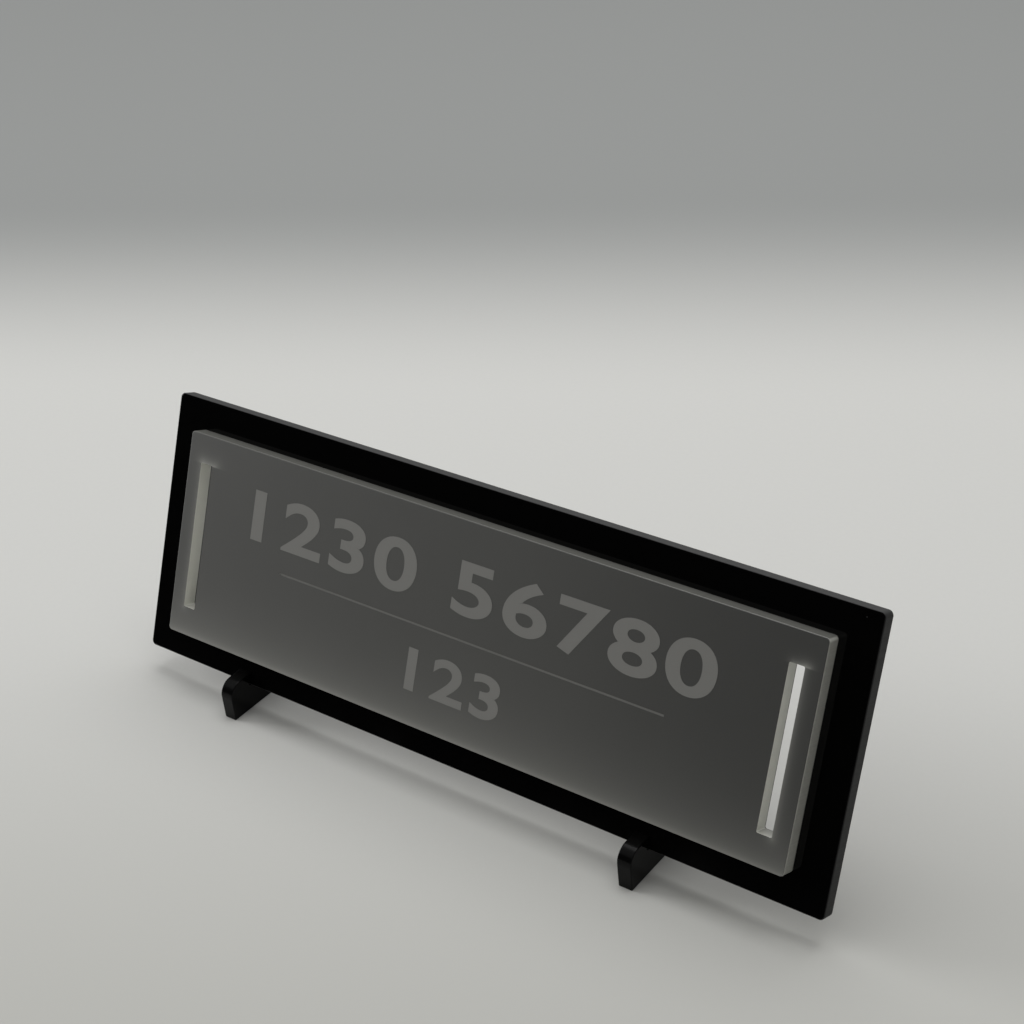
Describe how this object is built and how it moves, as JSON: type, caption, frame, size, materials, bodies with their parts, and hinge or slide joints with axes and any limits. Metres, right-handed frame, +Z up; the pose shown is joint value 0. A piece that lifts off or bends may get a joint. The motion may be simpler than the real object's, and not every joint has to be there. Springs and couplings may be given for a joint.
{
  "type": "desk name plate",
  "caption": "Frosted panel bonded to a black backing plate that leans back on slot-on feet, which slide along its lower edge; stands on a desk to carry a name.",
  "frame": {"origin": "middle of the object's box, on the desk that the feet stand on", "axes": "+X along the plate to its right end as seen from the front, +Y to the back, +Z up"},
  "size_m": [0.16, 0.0314, 0.0554],
  "materials": {
    "black_acrylic": "gloss cast sheet with cut edges",
    "frosted_acrylic": "satin frosted sheet, see-through against what it touches",
    "adhesive_film": "clear transfer film"
  },
  "bodies": {
    "plate": {"backing_plate": "black_acrylic", "bond_film": "adhesive_film", "name_panel": "frosted_acrylic"},
    "left_foot": {"left_foot": "black_acrylic"},
    "right_foot": {"right_foot": "black_acrylic"}
  },
  "joints": [
    {"name": "left_foot_slide", "type": "slide", "parent": "plate", "child": "left_foot", "axis": [1, 0, 0], "range_m": [-0.0233, 0.0432]},
    {"name": "right_foot_slide", "type": "slide", "parent": "plate", "child": "right_foot", "axis": [1, 0, 0], "range_m": [-0.0333, 0.0332]}
  ]
}
